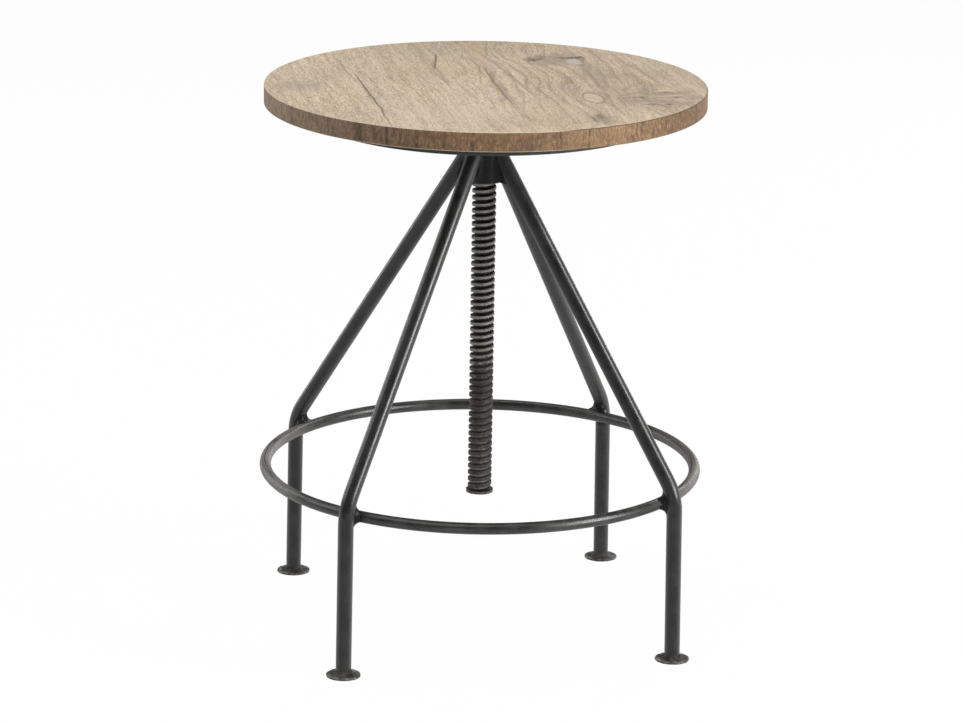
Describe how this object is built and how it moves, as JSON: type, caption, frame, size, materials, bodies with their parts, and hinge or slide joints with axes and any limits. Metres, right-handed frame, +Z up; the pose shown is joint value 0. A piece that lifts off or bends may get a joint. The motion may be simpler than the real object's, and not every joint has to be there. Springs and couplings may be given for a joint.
{
  "type": "bar stool",
  "caption": "Backless stool with a round wooden seat on a threaded spindle, which turns in a hub carried by bent round-bar legs with a footrest ring and foot discs.",
  "frame": {"origin": "on the floor, on the axis of the screw, with the seat at its lowest", "axes": "+Z up, -Y towards the front, with the legs on the diagonals between X and Y"},
  "size_m": [0.4059, 0.4058, 0.503],
  "materials": {
    "seat_wood": "greyed tan hardwood, open grain, satin oiled",
    "black_steel": "charcoal black, satin, slightly mottled",
    "spindle_steel": "blackened steel, rubbed bright on the thread's crests near the hub",
    "screw_zinc": "zinc plated, dull"
  },
  "bodies": {
    "frame": {"hub": "black_steel", "hub_welds": "black_steel", "leg_front_right": "black_steel", "leg_back_right": "black_steel", "leg_back_left": "black_steel", "leg_front_left": "black_steel", "footrest_ring": "black_steel", "ring_welds": "black_steel", "foot_front_right": "black_steel", "foot_back_right": "black_steel", "foot_back_left": "black_steel", "foot_front_left": "black_steel", "foot_welds": "black_steel"},
    "stop": {"stop_washer": "spindle_steel"},
    "seat": {"seat_board": "seat_wood", "seat_plate": "black_steel", "plate_hoop": "black_steel", "seat_screws": "screw_zinc", "spindle": "spindle_steel", "spindle_weld": "black_steel", "end_screw": "screw_zinc"}
  },
  "joints": [
    {"name": "seat_lift", "type": "slide", "parent": "frame", "child": "stop", "axis": [0, 0, 1], "range_m": [0, 0.2914]},
    {"name": "seat_turn", "type": "hinge", "parent": "stop", "child": "seat", "pos_m": [0, 0, 0.4], "axis": [0, 0, 1], "range_deg": [0, 16920]}
  ],
  "couplings": [
    {"joint": "seat_lift", "follows": "seat_turn", "m_per_rad": 0.00098676}
  ]
}
